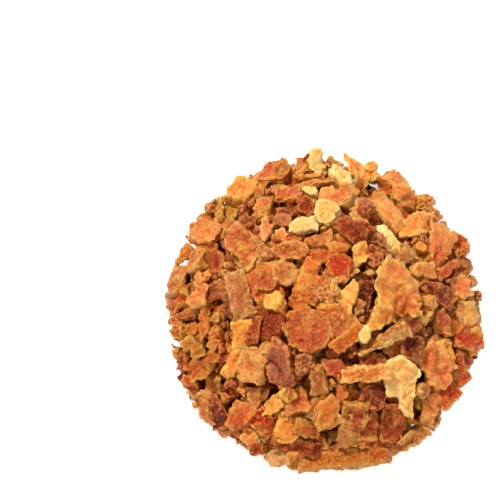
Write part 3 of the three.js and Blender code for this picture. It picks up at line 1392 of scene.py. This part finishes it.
LANDMARKS = (
    # Low pieces, partly covered by those after them.
    Landmark(RIND, BLOCK, BROWN, -0.49, 0.54, 5.5, 4.8, 20),
    Landmark(MEMBRANE, LEAF, TAN, -0.34, 0.51, 6.4, 3.0, 85),
    Landmark(CLUSTER, ROUND, RUST, 0.26, 0.63, 4.8, 3.8, 90),
    Landmark(CLUSTER, ROUND, BROWN, 0.32, 0.44, 4.4, 4.0, 0),
    Landmark(CLUSTER, KITE, RUST, 0.32, 0.31, 4.0, 3.4, 30),
    Landmark(RIND, STICK, PLUM, 0.34, 0.36, 6.6, 3.0, -5),
    Landmark(CLUSTER, KITE, RUST, 0.58, 0.44, 4.4, 3.0, 30),
    Landmark(RIND, BLOCK, BROWN, 0.31, -0.30, 6.6, 4.2, 10),
    Landmark(RIND, BLOCK, PLUM, 0.54, -0.22, 6.6, 5.4, 70),
    Landmark(CLUSTER, KITE, BROWN, -0.11, -0.31, 5.4, 4.6, 60),
    Landmark(MEMBRANE, SHARD, RUST, 0.08, -0.33, 6.0, 4.4, -30),
    Landmark(RIND, KITE, ORANGE, 0.41, 0.26, 5.2, 4.2, 10),
    Landmark(RIND, BLOCK, ORANGE, -0.49, -0.63, 7.0, 6.0, 60),
    Landmark(RIND, BLOCK, TAN, 0.55, -0.76, 8.6, 3.6, 28),
    Landmark(RIND, STICK, ORANGE, 0.30, -0.81, 10.0, 3.0, -5),
    Landmark(RIND, BLOCK, RUST, -0.40, -0.83, 3.6, 3.2, 0),
    # Along the back edge, from left to right.
    Landmark(PITH, BLOCK, GOLDEN, -0.49, 0.72, 8.2, 6.2, 60),
    Landmark(RIND, KITE, ORANGE, -0.30, 0.84, 9.8, 6.6, 20),
    Landmark(RIND, BLOCK, TAN, -0.12, 0.88, 5.2, 4.2, 80),
    Landmark(RIND, KITE, AMBER, 0.06, 0.90, 3.6, 2.6, -20),
    Landmark(PITH, LEAF, CREAM, -0.04, 0.91, 7.2, 4.4, 100),
    Landmark(STRIP, STICK, AMBER, -0.04, 0.77, 9.6, 2.4, 3),
    Landmark(STRIP, STICK, ORANGE, -0.09, 0.81, 7.2, 1.6, 2),
    Landmark(PITH, LEAF, CREAM, 0.11, 0.81, 6.8, 3.4, -45),
    Landmark(PITH, ROUND, AMBER, 0.30, 0.88, 4.0, 2.8, 80),
    Landmark(MEMBRANE, SHARD, GOLDEN, 0.22, 0.83, 10.4, 7.2, -58, cup=30),
    Landmark(RIND, BLOCK, ORANGE, 0.45, 0.80, 7.0, 5.2, -25, Upside.PITH),
    Landmark(PITH, LEAF, TAN, 0.49, 0.68, 7.0, 4.6, -60),
    Landmark(CLUSTER, KITE, AMBER, 0.61, 0.65, 6.0, 5.0, -30),
    Landmark(RIND, KITE, RED, 0.83, 0.40, 6.2, 4.6, -60),
    Landmark(RIND, LEAF, BROWN, 0.87, 0.27, 5.6, 3.8, 60, Upside.PITH, cup=80),
    # The upper left.
    Landmark(RIND, BLOCK, PLUM, -0.235, 0.58, 7.2, 5.2, 88, Upside.PITH),
    Landmark(RIND, LEAF, BLUSHED, -0.35, 0.655, 9.8, 5.0, 60),
    Landmark(RIND, NOTCHED, ORANGE, -0.20, 0.71, 6.8, 6.0, 10),
    Landmark(PITH, SLIVER, CREAM, -0.07, 0.715, 4.4, 2.2, -35),
    Landmark(MEMBRANE, NOTCHED, GOLDEN, 0.075, 0.70, 8.0, 6.6, 0),
    Landmark(RIND, KITE, RUST, -0.10, 0.645, 6.6, 5.0, -60),
    Landmark(PITH, ROUND, CREAM, 0.03, 0.60, 6.4, 5.4, 90),
    Landmark(MEMBRANE, KITE, AMBER, -0.255, 0.455, 4.2, 3.8, 30),
    Landmark(RIND, SHARD, ORANGE, -0.02, 0.44, 8.6, 5.0, 15),
    Landmark(PITH, WEDGE, CREAM, -0.11, 0.52, 5.8, 3.9, 12),
    Landmark(RIND, WEDGE, RUST, 0.19, 0.485, 8.6, 7.0, -35),
    Landmark(PITH, LEAF, AMBER, 0.085, 0.39, 5.8, 3.3, -5),
    Landmark(RIND, SHARD, TAN, -0.36, 0.38, 8.4, 3.8, -60),
    Landmark(RIND, LEAF, ORANGE, -0.19, 0.365, 9.6, 4.4, -3),
    Landmark(RIND, BLOCK, ORANGE, -0.455, 0.365, 13.0, 6.6, -50),
    # The upper right.
    Landmark(RIND, STICK, AMBER, 0.41, 0.615, 14.6, 5.2, -64, Upside.PITH, cup=10),
    Landmark(MEMBRANE, LEAF, GOLDEN, 0.565, 0.515, 12.4, 5.6, 42, cup=45, curl=-10),
    Landmark(PITH, ROUND, GOLDEN, 0.59, 0.385, 2.8, 2.4, 0),
    Landmark(MEMBRANE, KITE, AMBER, 0.555, 0.305, 4.6, 3.6, 60),
    Landmark(RIND, NOTCHED, TAN, 0.49, 0.345, 5.8, 5.2, 40),
    Landmark(MEMBRANE, WEDGE, AMBER, 0.705, 0.405, 11.4, 8.2, 66, cup=15, thickness=1.5),
    Landmark(MEMBRANE, LEAF, GOLDEN, 0.23, 0.345, 6.0, 3.6, 70),
    Landmark(PITH, WEDGE, TAN, 0.61, 0.245, 6.4, 4.2, 10),
    Landmark(STRIP, STICK, RED, 0.75, 0.255, 7.8, 2.8, 42),
    # Across the middle.
    Landmark(CLUSTER, ROUND, TAN, 0.03, 0.12, 5.6, 4.6, 20),
    Landmark(PITH, LEAF, TAN, -0.23, 0.24, 6.6, 5.2, -20),
    Landmark(RIND, FAN, RED, 0.105, 0.27, 7.0, 6.4, 90),
    Landmark(STRIP, STICK, ORANGE, -0.105, 0.18, 11.8, 5.0, 68, Upside.PITH),
    Landmark(RIND, KITE, ORANGE, -0.34, 0.18, 7.2, 5.0, 25),
    Landmark(RIND, ROUND, RUST, -0.32, -0.04, 9.6, 8.2, 100, cup=50),
    Landmark(PITH, ROUND, GOLDEN, -0.29, 0.06, 4.2, 3.6, 0),
    Landmark(RIND, BLOCK, TAN, -0.50, 0.10, 13.0, 6.0, 100),
    Landmark(RIND, STICK, RUST, -0.42, -0.11, 6.8, 3.8, 80),
    Landmark(PITH, BLOCK, GOLDEN, -0.48, -0.14, 6.2, 4.4, 90),
    Landmark(MEMBRANE, FORKED, GOLDEN, 0.14, 0.09, 8.8, 6.8, 95),
    Landmark(RIND, BLOCK, TAN, 0.10, -0.055, 7.8, 6.6, 35),
    Landmark(RIND, ROUND, ORANGE, -0.09, -0.105, 11.0, 10.6, 0, curl=14, cup=10),
    Landmark(STRIP, STICK, ORANGE, 0.16, -0.155, 9.0, 3.9, 42),
    Landmark(PITH, LEAF, CREAM, 0.255, -0.14, 3.2, 2.4, 80),
    Landmark(RIND, KITE, RED, 0.325, 0.02, 3.6, 2.2, 70),
    Landmark(RIND, KITE, BROWN, 0.52, -0.08, 6.6, 5.6, 60),
    Landmark(MEMBRANE, BELL, GOLDEN, 0.43, 0.10, 18.6, 14.4, 88, curl=15, cup=18),
    Landmark(MEMBRANE, LEAF, TAN, 0.83, 0.145, 7.0, 5.6, -30),
    Landmark(RIND, WEDGE, PLUM, 0.70, 0.11, 9.4, 6.4, -20, curl=8),
    Landmark(MEMBRANE, STICK, GOLDEN, 0.635, 0.005, 6.4, 2.6, 60, curl=120),
    Landmark(RIND, LEAF, AMBER, 0.865, -0.015, 7.4, 6.6, 60, Upside.PITH),
    Landmark(RIND, KITE, RED, 0.72, -0.065, 7.0, 4.7, 110),
    Landmark(RIND, FAN, RED, 0.885, -0.17, 8.8, 7.8, 15),
    # The lower left.
    Landmark(CLUSTER, ROUND, TAN, -0.34, -0.22, 3.2, 2.6, 0),
    Landmark(RIND, BLOCK, AMBER, -0.425, -0.32, 8.8, 7.4, 80, Upside.PITH),
    Landmark(MEMBRANE, LEAF, BROWN, -0.255, -0.33, 12.8, 6.8, 100, curl=15, cup=20, thickness=1.4),
    Landmark(RIND, SHARD, TAN, -0.41, -0.52, 6.8, 3.8, 95),
    Landmark(RIND, BLOCK, RED, -0.355, -0.67, 8.0, 5.2, -55),
    Landmark(MEMBRANE, SHARD, GOLDEN, -0.30, -0.57, 6.0, 3.4, 45),
    Landmark(PITH, FAN, GOLDEN, -0.215, -0.70, 7.0, 5.6, -70),
    Landmark(RIND, SHARD, ORANGE, -0.155, -0.555, 8.0, 5.6, 35),
    Landmark(PITH, KITE, GOLDEN, -0.215, -0.505, 3.8, 3.2, 0),
    Landmark(RIND, STICK, ORANGE, -0.05, -0.575, 6.0, 3.2, 65),
    Landmark(RIND, WEDGE, AMBER, -0.025, -0.42, 7.0, 4.8, -85),
    Landmark(STRIP, BLOCK, AMBER, -0.095, -0.70, 7.0, 4.8, -18),
    Landmark(MEMBRANE, LEAF, GOLDEN, -0.44, -0.76, 5.2, 3.4, -60),
    Landmark(STRIP, STICK, TAN, -0.39, -0.73, 6.0, 1.4, -45),
    Landmark(RIND, LEAF, TAN, -0.28, -0.89, 6.8, 4.2, -18, Upside.PITH),
    Landmark(RIND, STICK, RUST, -0.09, -0.825, 15.4, 4.2, -8),
    # The lower right.
    Landmark(RIND, KITE, ORANGE, 0.115, -0.49, 5.0, 3.4, 80),
    Landmark(PITH, LEAF, AMBER, 0.018, -0.61, 8.4, 5.0, 72),
    Landmark(RIND, ROUND, PLUM, 0.31, -0.50, 7.6, 6.4, 60),
    Landmark(PITH, STICK, TOASTED, 0.26, -0.375, 10.8, 3.3, 4, curl=0, cup=0),
    Landmark(RIND, SHARD, RED, 0.285, -0.71, 8.0, 5.8, -92),
    Landmark(RIND, BLOCK, BLUSHED, 0.18, -0.675, 12.0, 6.4, 82),
    Landmark(STRIP, STICK, TOASTED, 0.36, -0.175, 12.4, 3.0, 27, roll=-50, pitch=0, thickness=2.2),
    Landmark(RIND, BLOCK, RUST, 0.425, -0.665, 9.6, 6.8, 80),
    Landmark(MEMBRANE, TAILED, CREAM, 0.475, -0.43, 13.8, 8.4, 98, curl=14, cup=20, thickness=1.4),
    Landmark(MEMBRANE, LEAF, AMBER, 0.675, -0.315, 12.8, 7.8, -62, curl=5, cup=5, thickness=1.5),
    Landmark(MEMBRANE, SHARD, GOLDEN, 0.75, -0.25, 8.4, 3.8, 118),
    Landmark(RIND, BLOCK, RED, 0.855, -0.375, 7.4, 4.8, -60),
    Landmark(MEMBRANE, KITE, TAN, 0.60, -0.475, 4.0, 3.4, 20),
    Landmark(MEMBRANE, STICK, TAN, 0.665, -0.52, 5.6, 3.0, -60),
    Landmark(MEMBRANE, SHARD, AMBER, 0.63, -0.63, 8.6, 4.8, 80),
    Landmark(RIND, BLOCK, RED, 0.765, -0.515, 6.8, 5.6, 40),
    Landmark(STRIP, STICK, BLUSHED, 0.13, -0.915, 20.6, 4.4, 6, roll=-14, pitch=0, thickness=2.4),
)


@dataclass(frozen=True)
class Share:
    """How common one kind of loose piece is, with the sizes and tones that it comes in."""

    sort: Sort
    weight: float
    length: Span
    slenderness: Span  # width over length
    outlines: tuple[Outline, ...]
    tones: tuple[Tone, ...]


MIX = (
    Share(
        RIND, 0.5, (5.2, 11.0), (0.5, 0.85),
        (BLOCK, WEDGE, KITE, LEAF, SHARD, NOTCHED, FAN),
        (ORANGE, ORANGE, AMBER, TAN, RED, RUST, PLUM, ORANGE),
    ),
    Share(
        STRIP, 0.12, (7.0, 13.0), (0.26, 0.42),
        (STICK, SLIVER),
        (ORANGE, RED, TAN, AMBER, RUST),
    ),
    Share(
        PITH, 0.13, (4.4, 8.6), (0.55, 0.85),
        (LEAF, BLOCK, ROUND, KITE, WEDGE),
        (CREAM, GOLDEN, AMBER, TAN, ORANGE),
    ),
    Share(
        MEMBRANE, 0.15, (5.5, 10.5), (0.5, 0.85),
        (LEAF, SHARD, NOTCHED, FAN, TAILED),
        (GOLDEN, AMBER, AMBER, TAN, ORANGE),
    ),
    Share(
        CLUSTER, 0.10, (3.0, 5.6), (0.7, 0.95),
        (ROUND, KITE),
        (BROWN, RUST, TAN, ORANGE),
    ),
)


@dataclass
class Core:
    """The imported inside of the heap: the CAD heap drawn in on all sides, as crumbs."""

    node: Piece
    name: str = "packed_core"
    drawn_in: float = 2.6  # millimetres at the sides
    lowered: float = 6.2  # millimetres at the top
    lowered_from: float = 1.6  # millimetres up, where the lowering starts
    lowered_over: float = 9.0  # millimetres further up, where all of it is reached
    voxel: float = 1.0
    smoothing: int = 14
    smoothing_factor: float = 0.5
    crumb_size: float = 1.8
    crumb_height: float = 1.6

    def build(self) -> Piece:
        """Models the core from a copy of the CAD heap.

        Returns:
            The core, at the origin.
        """
        bpy.ops.object.select_all(action="DESELECT")
        core = bpy.data.objects.new(self.name, self.node.data.copy())
        bpy.context.scene.collection.objects.link(core)
        bpy.context.view_layer.objects.active = core
        core.select_set(True)
        low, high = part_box(NODE)
        size = (high - low) / MM
        share = (1 - 2 * self.drawn_in / size.x, 1 - 2 * self.drawn_in / size.y, 1.0)
        core.data.transform(Matrix.Diagonal((*(part / MM for part in share), 1.0)))
        bpy.ops.object.mode_set(mode="EDIT")
        bpy.ops.mesh.select_all(action="SELECT")
        bpy.ops.mesh.remove_doubles(threshold=MM)
        bpy.ops.object.mode_set(mode="OBJECT")
        Bench.apply(core, "REMESH", mode="VOXEL", voxel_size=self.voxel)
        Bench.apply(core, "SMOOTH", factor=self.smoothing_factor, iterations=self.smoothing)
        crumbs = bpy.data.textures.new("core_crumbs", "VORONOI")
        crumbs.noise_scale = self.crumb_size
        Bench.apply(core, "DISPLACE", texture=crumbs, direction="NORMAL", strength=self.crumb_height)
        points = read_vectors(core.data.vertices, "co")
        share_down = np.clip((points[:, 2] - self.lowered_from) / self.lowered_over, 0, 1)
        points[:, 2] -= self.lowered * share_down
        points[:, 2] = np.clip(points[:, 2], 0, None)
        core.data.vertices.foreach_set("co", (points * MM).ravel())
        core.data.update()
        core.data.shade_smooth()
        core.data.materials.clear()
        core.data.materials.append(CrumbFinish("packed_crumbs").make())
        log.info("%s: %d triangles", self.name, 2 * len(core.data.polygons))
        return core


@dataclass
class Builder:
    """Lays the whole heap: lower pieces, those with a place of their own, the rest and the crumbs."""

    heap: Heap
    bench: Bench
    rng: np.random.Generator
    piles: dict[str, Pile] = field(default_factory=peel_piles)
    spares: list[tuple[Share, list[Shape]]] = field(default_factory=list)
    rim_height: float = 6.0  # millimetres of the surface, under which the rim is counted
    fewest_spares: int = 4  # of each kind
    spare_detail: float = 0.8  # share of the recipe's triangles
    stretch: Span = (0.75, 1.0)  # of a spare that is laid
    most_stretch: float = 1.15
    mirrored_share: float = 0.5
    light_spread: float = 0.07  # how far the brightness of single pieces strays
    green_spread: float = 0.05  # how far their hue strays
    brightest: float = 0.98
    lower_kinds: int = 8  # lower pieces cut of each kind
    lower_size: float = 0.9
    lower_detail: float = 0.3
    lower_depth: float = 0.8  # millimetres that they stay under the top of the heap
    # Lower pieces get deep colours under the top layer, partly their own and partly painted shade of the
    # hollows, and are as light as that layer round the rim.
    shaded_lower_tones: tuple[Tone, ...] = (RUST, BROWN, ORANGE, RUST, PLUM, TAN)
    rim_tones: tuple[Tone, ...] = (ORANGE, AMBER, TAN, RUST, ORANGE, GOLDEN)
    goes: int = 5  # tries for each piece of a coat
    pith_up: float = 0.35  # share of the loose pieces that lie pith side up
    hidden_most: float = 0.06  # share of a loose piece that may lie over the kept ones
    crumb_sorts: tuple[Sort, ...] = (RIND, CLUSTER, MEMBRANE)
    crumb_outlines: tuple[Outline, ...] = (KITE, SHARD, BLOCK, WEDGE, LEAF, SLIVER)
    crumb_tones: tuple[Tone, ...] = (ORANGE, RUST, BROWN, TAN, GOLDEN, BROWN, AMBER, RUST)
    crumb_kinds: int = 24
    crumb_length: Span = (1.7, 3.4)
    crumb_slenderness: Span = (0.5, 0.9)
    crumb_detail: float = 0.6
    crumb_size: float = 0.9  # of a crumb that is laid, as a share of the one that is cut
    crumb_lack: float = 1.8  # millimetres that a hollow is deep at least
    crumb_ground: float = 2.5  # millimetres of the surface, under which no crumbs fall

    def pile_of(self, sort: Sort, tone: Tone) -> Pile:
        """Gives the pile that a full piece of this kind and tone belongs to."""
        if sort is not RIND:
            return self.piles[sort.value]
        if tone in (ORANGE, AMBER, BLUSHED):
            return self.piles["orange_rind"]
        return self.piles["tan_rind" if tone in (TAN, GOLDEN) else "deep_rind"]

    def cut_spares(self, number: int) -> None:
        """Cuts the loose pieces that are laid in several places.

        Args:
            number: how many are cut in all, shared out by the mix's weights.
        """
        for share in MIX:
            shapes = []
            for index in range(max(self.fewest_spares, round(number * share.weight))):
                shapes.append(self.cut_loose(share, index, 1.0, self.spare_detail))
            self.spares.append((share, shapes))

    def cut_loose(self, share: Share, index: int, size: float, detail: float) -> Shape:
        """Cuts one loose piece of a kind.

        Args:
            share: the kind, with its sizes and outlines.
            index: its number among those of its kind, which gives its outline.
            size: what its length is scaled by.
            detail: share of the recipe's triangles.

        Returns:
            The piece.
        """
        length = self.rng.uniform(*share.length) * size
        width = length * self.rng.uniform(*share.slenderness)
        outline = share.outlines[index % len(share.outlines)]
        return self.bench.cut(Cut(share.sort, outline, length, width), self.rng, detail)

    def shades(self, tone: Tone, rng: np.random.Generator) -> Shades:
        """Gives one piece's own colours, a little lighter, darker, redder or yellower than its tone."""
        light = rng.normal(1.0, self.light_spread)
        green = rng.normal(1.0, self.green_spread)
        own = np.array([light, light * green, light * green * green])
        parts = (np.array(linear(getattr(tone.value, name))) for name in COLOURS)
        return Shades(*(tuple(np.clip(part * own, 0, self.brightest)) for part in parts))

    def spare(self, largest: float) -> tuple[Share, Shape, Tone]:
        """Picks a loose piece by the mix's weights, and stretches and turns it over by chance."""
        weights = [share.weight for share, _ in self.spares]
        share, shapes = self.spares[self.rng.choice(len(weights), p=np.array(weights) / sum(weights))]
        shape = shapes[self.rng.integers(len(shapes))]
        limit = min(self.most_stretch, largest / np.ptp(shape.points[:, 0]))
        along, across = (self.rng.uniform(*self.stretch) * limit for _ in range(2))
        shape = shape.scaled(along, across)
        if self.rng.random() < self.mirrored_share:
            shape = shape.mirrored()
        return share, shape, share.tones[self.rng.integers(len(share.tones))]

    def lay_undercoat(self, lack: float, rim_lack: float, most: int) -> None:
        """Covers the core with plain lower pieces, below the surface.

        Args:
            lack: millimetres below the surface at which it stops.
            rim_lack: the same round the foot of the heap.
            most: tries at most, over the whole heap and then again round its foot.
        """
        plain = [
            self.cut_loose(share, index, self.lower_size, self.lower_detail)
            for share in MIX
            for index in range(self.lower_kinds)
        ]
        flank = self.heap.surface.heights > self.rim_height
        for skip, stop in ((np.zeros_like(flank), lack), (flank, rim_lack)):
            for _ in range(most):
                place, missing = self.heap.lowest_place(LOWER_SEARCH, skip)
                if missing < stop:
                    break
                shape = plain[self.rng.integers(len(plain))]
                points = self.heap.settle(shape, place, self.rng.uniform(0, 360), self.rng, LOWER)
                at_rim = self.heap.surface.at(place[None])[0] < self.rim_height
                # Deep tones under the top layer paint part of the shade in the hollows.
                tones = self.rim_tones if at_rim else self.shaded_lower_tones
                tone = tones[self.rng.integers(len(tones))]
                if points[:, 2].max() < self.heap.height - self.lower_depth:
                    self.heap.lay(self.piles["lower"], shape, points, self.shades(tone, self.rng))

    def lay_landmarks(self, viewpoint: Viewpoint) -> None:
        """Lays the pieces that have a place of their own.

        Args:
            viewpoint: where their places are seen from.
        """
        for mark in LANDMARKS:
            seeds = [round(SEED_STEPS * (1 + part)) for part in (mark.across, mark.up)]
            rng = np.random.default_rng(seeds)
            size = (mark.length, mark.width, mark.curl, mark.cup, mark.thickness)
            cut = Cut(mark.sort, mark.outline, *size)
            shape = self.bench.cut(cut, rng)
            place = viewpoint.ground_point(mark.across, mark.up, self.heap.surface)
            lean = None if mark.roll is None else (mark.roll, mark.pitch)
            points = self.heap.settle(shape, place, mark.turn, rng, PLACED, mark.upside, lean)
            pile = self.pile_of(mark.sort, mark.tone)
            self.heap.lay(pile, shape, points, self.shades(mark.tone, rng), keep=True)

    def lay_coat(self, coat: Coat, skip: Array | None = None) -> None:
        """Lays loose pieces wherever the heap is lowest, without hiding the kept ones.

        Args:
            coat: how far it fills the heap up, and with what.
            skip: cells of the ground that are left alone, if any.
        """
        done = self.heap.kept.copy() if skip is None else self.heap.kept | skip
        laid = 0
        for _ in range(coat.most * self.goes):
            place, missing = self.heap.lowest_place(LOOSE_SEARCH, done)
            if missing < coat.lack or laid >= coat.most:
                break
            share, shape, tone = self.spare(coat.largest)
            upside = Upside.PITH if self.rng.random() < self.pith_up else Upside.RIND
            points = self.heap.settle(shape, place, self.rng.uniform(0, 360), self.rng, LOOSE, upside)
            hidden = self.heap.kept[self.heap.ground.cells(points)].mean()
            if hidden < self.hidden_most and points[:, 2].max() < self.heap.height:
                self.heap.lay(self.pile_of(share.sort, tone), shape, points, self.shades(tone, self.rng))
                laid += 1
            else:
                # This cell and its neighbours aren't tried again.
                row, column = self.heap.ground.cells(place[None])
                done[row[0] - 1:row[0] + 2, column[0] - 1:column[0] + 2] = True
        log.info("coat down to %.1f mm: %d pieces", coat.lack, laid)

    def lay_rim(self) -> None:
        """Fills most gaps between the lowest pieces, where the table would show."""
        self.lay_coat(RIM_COAT, self.heap.surface.heights > self.rim_height)

    def scatter_crumbs(self, number: int) -> None:
        """Lets broken crumbs fall into the hollows.

        Args:
            number: how many are tried.
        """
        kinds = []
        for index in range(self.crumb_kinds):
            length = self.rng.uniform(*self.crumb_length)
            sort = self.crumb_sorts[index % len(self.crumb_sorts)]
            outline = self.crumb_outlines[index % len(self.crumb_outlines)]
            cut = Cut(sort, outline, length, length * self.rng.uniform(*self.crumb_slenderness))
            crumb = self.bench.cut(cut, self.rng, self.crumb_detail)
            kinds.append(crumb.scaled(self.crumb_size, self.crumb_size))
        outside = (self.heap.surface.heights < self.crumb_ground) | self.heap.kept
        for _ in range(number):
            place, missing = self.heap.lowest_place(CRUMB_SEARCH, outside)
            if missing < self.crumb_lack:
                break
            shape = kinds[self.rng.integers(len(kinds))]
            points = self.heap.settle(shape, place, self.rng.uniform(0, 360), self.rng, LOWER)
            if points[:, 2].max() < self.heap.height:
                tone = self.crumb_tones[self.rng.integers(len(self.crumb_tones))]
                self.heap.lay(self.piles["crumb"], shape, points, self.shades(tone, self.rng))


@dataclass(frozen=True)
class Lamp:
    """A square soft lamp that faces the heap: its place and side in metres, its power in watts."""

    name: str
    place: tuple[float, float, float]
    side: float
    power: float


@dataclass
class Studio:
    """The table, the soft lamps and the camera. Lengths are metres."""

    viewpoint: Viewpoint
    table_span: float = 3.0
    key: Lamp = Lamp("key_lamp", (-0.32, 0.36, 0.62), 0.14, 6.5)
    fill: Lamp = Lamp("fill_lamp", (0.45, -0.5, 0.5), 0.8, 2.0)
    sky: float = 0.52
    nearest: float = 0.01
    furthest: float = 10.0

    def build(self) -> None:
        """Sets up the whole studio."""
        self.lay_table()
        for lamp in (self.key, self.fill):
            self.hang(lamp)
        self.light_sky()
        self.place_camera()

    def lay_table(self) -> None:
        """Lays the pale table under the heap."""
        bpy.ops.object.select_all(action="DESELECT")
        bpy.ops.mesh.primitive_plane_add(size=self.table_span)
        table = bpy.context.object
        table.name = "table"
        table.data.materials.append(TableFinish().make())

    @staticmethod
    def hang(lamp: Lamp) -> None:
        """Hangs a lamp."""
        light = bpy.data.lights.new(lamp.name, "AREA")
        light.size = lamp.side
        light.energy = lamp.power
        hung = bpy.data.objects.new(lamp.name, light)
        hung.location = lamp.place
        hung.rotation_euler = (-Vector(lamp.place)).to_track_quat("-Z", "Y").to_euler()
        bpy.context.scene.collection.objects.link(hung)

    def light_sky(self) -> None:
        """Lights the scene evenly from all sides."""
        world = bpy.data.worlds.new("soft_sky")
        world.use_nodes = True
        background = world.node_tree.nodes["Background"]
        background.inputs["Color"].default_value = WHITE
        background.inputs["Strength"].default_value = self.sky
        bpy.context.scene.world = world
        bpy.context.scene.view_settings.view_transform = "Standard"

    def place_camera(self) -> None:
        """Places the camera and makes it the scene's own."""
        camera = bpy.data.cameras.new("camera")
        camera.lens = self.viewpoint.lens
        camera.sensor_width = self.viewpoint.sensor
        camera.clip_start = self.nearest
        camera.clip_end = self.furthest
        camera_object = bpy.data.objects.new("camera", camera)
        camera_object.location = self.viewpoint.place * MM
        ahead = Vector(self.viewpoint.ahead)
        camera_object.rotation_euler = ahead.to_track_quat("-Z", "Y").to_euler()
        bpy.context.scene.collection.objects.link(camera_object)
        bpy.context.scene.camera = camera_object


def top_of(piece: Piece, ground: Terrain, scale: float, top: float) -> Terrain:
    """Takes a terrain's heights from an object's mesh.

    Args:
        piece: the object to look down on.
        ground: the terrain to fill.
        scale: metres in a unit of the terrain.
        top: a height above all of the object, in metres.

    Returns:
        The same terrain.
    """
    mesh = piece.data
    vertices = read_vectors(mesh.vertices, "co")
    faces = [tuple(polygon.vertices) for polygon in mesh.polygons]
    ground.drop_onto(BVHTree.FromPolygons([Vector(v) for v in vertices], faces), scale, top)
    return ground


def main() -> None:
    """Builds the core, lays the pieces, dresses them and sets up the studio."""
    logging.basicConfig(level=logging.INFO, format="%(message)s")
    rng = np.random.default_rng(SEED)
    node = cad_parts[NODE]
    low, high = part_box(NODE)
    core = Core(node).build()

    surface = top_of(node, Terrain(), MM, high.z * 2)
    surface.heights = smoothed(surface.heights, SURFACE_BLUR)
    edge = Edge(np.array([high.x - low.x, high.y - low.y]) / MM / 2)
    within = edge.shares(*surface.centres()) < FOOT_SHARE
    surface.heights[within] = np.maximum(surface.heights[within], FOOT_HEIGHT)
    ground = top_of(core, Terrain(), MM, high.z * 2)
    heap = Heap(ground, surface, edge, high.z / MM + HEADROOM, rng)

    viewpoint = Viewpoint()
    builder = Builder(heap, Bench(), rng)
    builder.cut_spares(number=90)
    builder.lay_undercoat(lack=4.8, rim_lack=1.6, most=260)
    builder.lay_rim()
    builder.lay_coat(INNER_COAT)
    builder.lay_landmarks(viewpoint)
    builder.lay_coat(OUTER_COAT)
    builder.scatter_crumbs(number=70)

    for pile in builder.piles.values():
        piece = pile.build()
        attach(piece, BODY)
        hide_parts(NODE)
    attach(core, BODY)
    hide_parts(NODE)
    Studio(viewpoint).build()


if __name__ == "__main__":
    main()
